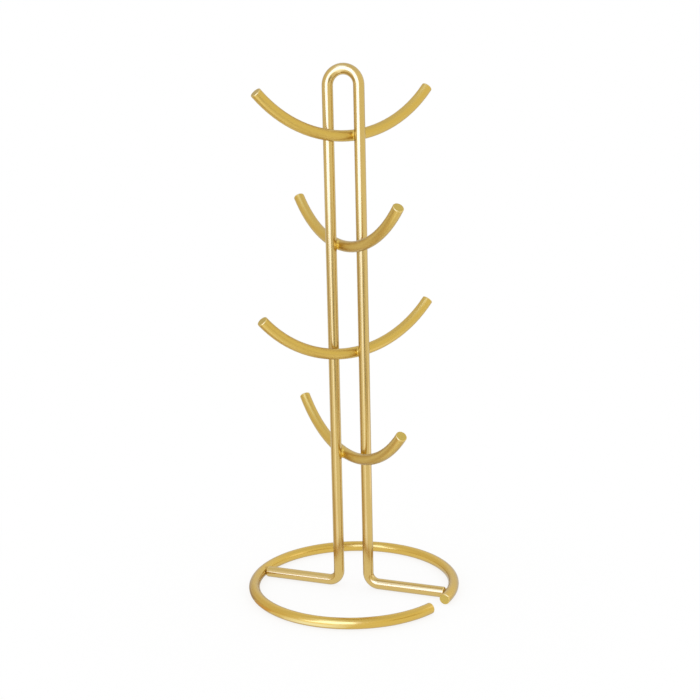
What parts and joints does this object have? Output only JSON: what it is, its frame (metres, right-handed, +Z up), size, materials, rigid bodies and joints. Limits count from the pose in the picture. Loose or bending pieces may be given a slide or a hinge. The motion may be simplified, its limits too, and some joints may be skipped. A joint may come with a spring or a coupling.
{
  "type": "mug tree",
  "caption": "Bent-wire mug tree: a hairpin upright welded into an open base ring, with crossed arms that curve upwards and hang mugs by their handles.",
  "frame": {"origin": "on the table, at the middle of the base ring", "axes": "+Z up; X in the plane of the two uprights, +X towards the side where the ring is cut; -Y to the front"},
  "size_m": [0.1388, 0.1388, 0.3384],
  "materials": {
    "gold_wire": "satin",
    "gold_weld": "satin"
  },
  "bodies": {
    "root": {"base_ring": "gold_wire", "upright_frame": "gold_wire", "top_arm": "gold_wire", "upper_arm": "gold_wire", "lower_arm": "gold_wire", "bottom_arm": "gold_wire", "left_foot_weld": "gold_weld", "right_foot_weld": "gold_weld", "top_arm_left_weld": "gold_weld", "top_arm_right_weld": "gold_weld", "upper_arm_left_weld": "gold_weld", "upper_arm_right_weld": "gold_weld", "lower_arm_left_weld": "gold_weld", "lower_arm_right_weld": "gold_weld", "bottom_arm_left_weld": "gold_weld", "bottom_arm_right_weld": "gold_weld"}
  },
  "joints": []
}
